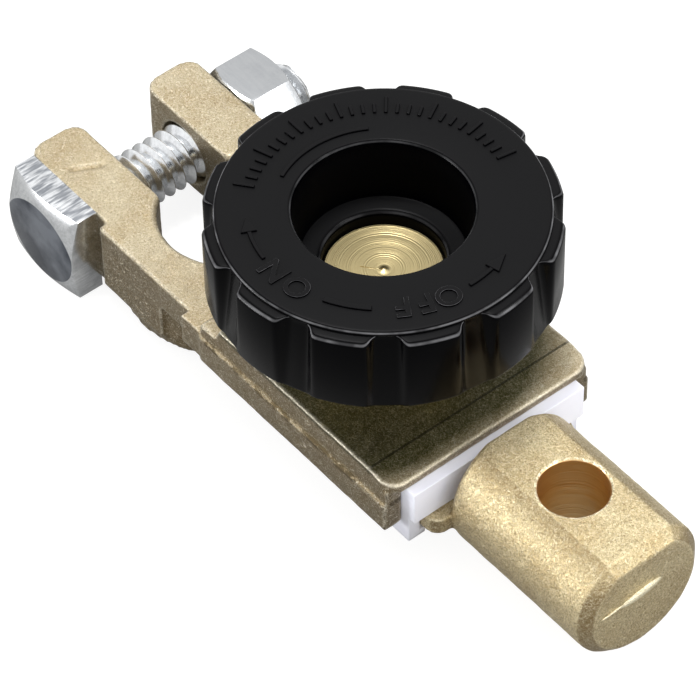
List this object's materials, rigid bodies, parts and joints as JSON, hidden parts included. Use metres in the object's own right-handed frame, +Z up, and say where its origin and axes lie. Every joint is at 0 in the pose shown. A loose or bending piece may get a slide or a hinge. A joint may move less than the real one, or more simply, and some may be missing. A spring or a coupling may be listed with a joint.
{
  "type": "battery disconnect switch",
  "caption": "Battery disconnect switch with a cast post clamp, a lobed hand knob on a contact screw, and a round cable post with a bolt hole.",
  "frame": {"origin": "on the battery post bore axis, level with the clamp underside", "axes": "+X towards the cable post, +Z up along the bore and knob axes, +Y towards the nut of the clamp bolt"},
  "size_m": [0.1007, 0.0446, 0.0372],
  "materials": {
    "clamp_body": "tumbled casting",
    "insulator": "moulded nylon",
    "cable_post": "tumbled casting",
    "contact_screw": "turned",
    "knob": "moulded black",
    "clamp_bolt": "bright zinc",
    "clamp_nut": "bright zinc"
  },
  "bodies": {
    "clamp": {"clamp_body": "clamp_body", "insulator": "insulator", "cable_post": "cable_post", "clamp_bolt": "clamp_bolt"},
    "screw": {"contact_screw": "contact_screw"},
    "hand_knob": {"knob": "knob"},
    "nut": {"clamp_nut": "clamp_nut"}
  },
  "joints": [
    {"name": "screw_travel", "type": "slide", "parent": "clamp", "child": "screw", "axis": [0, 0, 1], "range_m": [0, 0.00525]},
    {"name": "knob_turn", "type": "hinge", "parent": "screw", "child": "hand_knob", "pos_m": [0.03, 0, 0.03], "axis": [0, 0, 1], "range_deg": [0, 1080]},
    {"name": "nut_turn", "type": "hinge", "parent": "clamp", "child": "nut", "pos_m": [-0.0165, 0.0166, 0.0052], "axis": [0, 1, 0], "continuous": true}
  ],
  "couplings": [
    {"joint": "knob_turn", "follows": "screw_travel", "rad_per_m": 3590.4}
  ]
}
